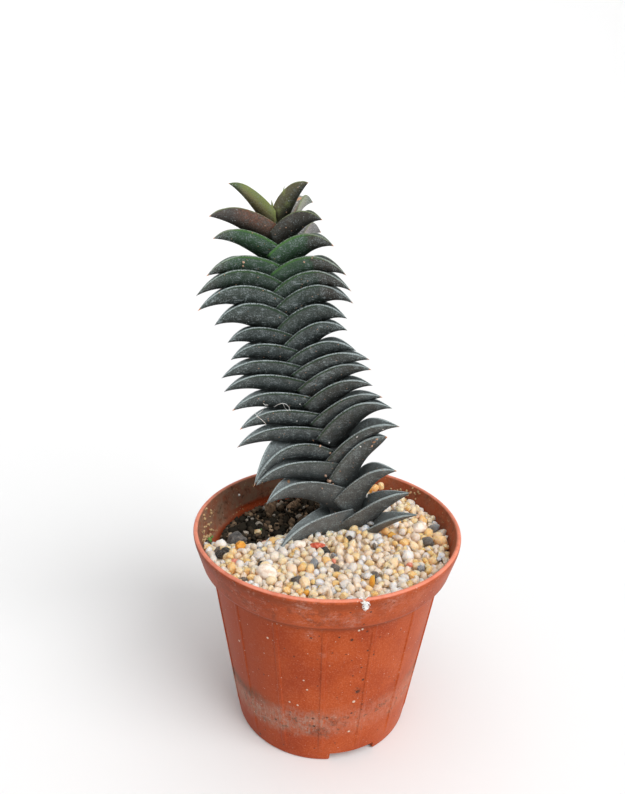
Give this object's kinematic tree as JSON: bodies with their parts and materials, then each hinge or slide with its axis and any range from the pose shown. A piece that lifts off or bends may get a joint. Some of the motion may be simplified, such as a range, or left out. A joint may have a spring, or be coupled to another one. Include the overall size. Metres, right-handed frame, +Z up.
{
  "type": "potted haworthia",
  "caption": "Small leaning column of tightly stacked, keeled dark green leaves in a round tapered nursery pot, topped with pale quartz grit.",
  "frame": {"origin": "centre of the pot's foot, on the surface it stands on", "axes": "+Z up, -Y towards the viewer of the picture, +X to the right; the plant leans to -X"},
  "size_m": [0.06, 0.06, 0.1224],
  "materials": {
    "terracotta_plastic": "satin moulded plastic in a terracotta orange, dusty, with pale lime marks low down",
    "potting_mix": "loose, dark, fibrous",
    "quartz_grit": "rounded grains, half translucent, honey, beige, white and grey",
    "leaf": "matt dark grey-green skin with a fine pale dust, paler margins, the top leaves green and brown",
    "limestone": "rough, cream",
    "red_stone": "rough, brick red",
    "dark_stone": "rough, dark grey",
    "bark": "rough, brown"
  },
  "bodies": {
    "root": {"pot": "terracotta_plastic", "potting_mix": "potting_mix", "grit": "quartz_grit", "leafy_stem": "leaf", "stone_cream": "limestone", "stone_small": "limestone", "stone_pink": "limestone", "stone_red": "red_stone", "stone_granite": "dark_stone", "charcoal": "dark_stone", "bark_long": "bark", "bark_short": "bark"}
  },
  "joints": []
}
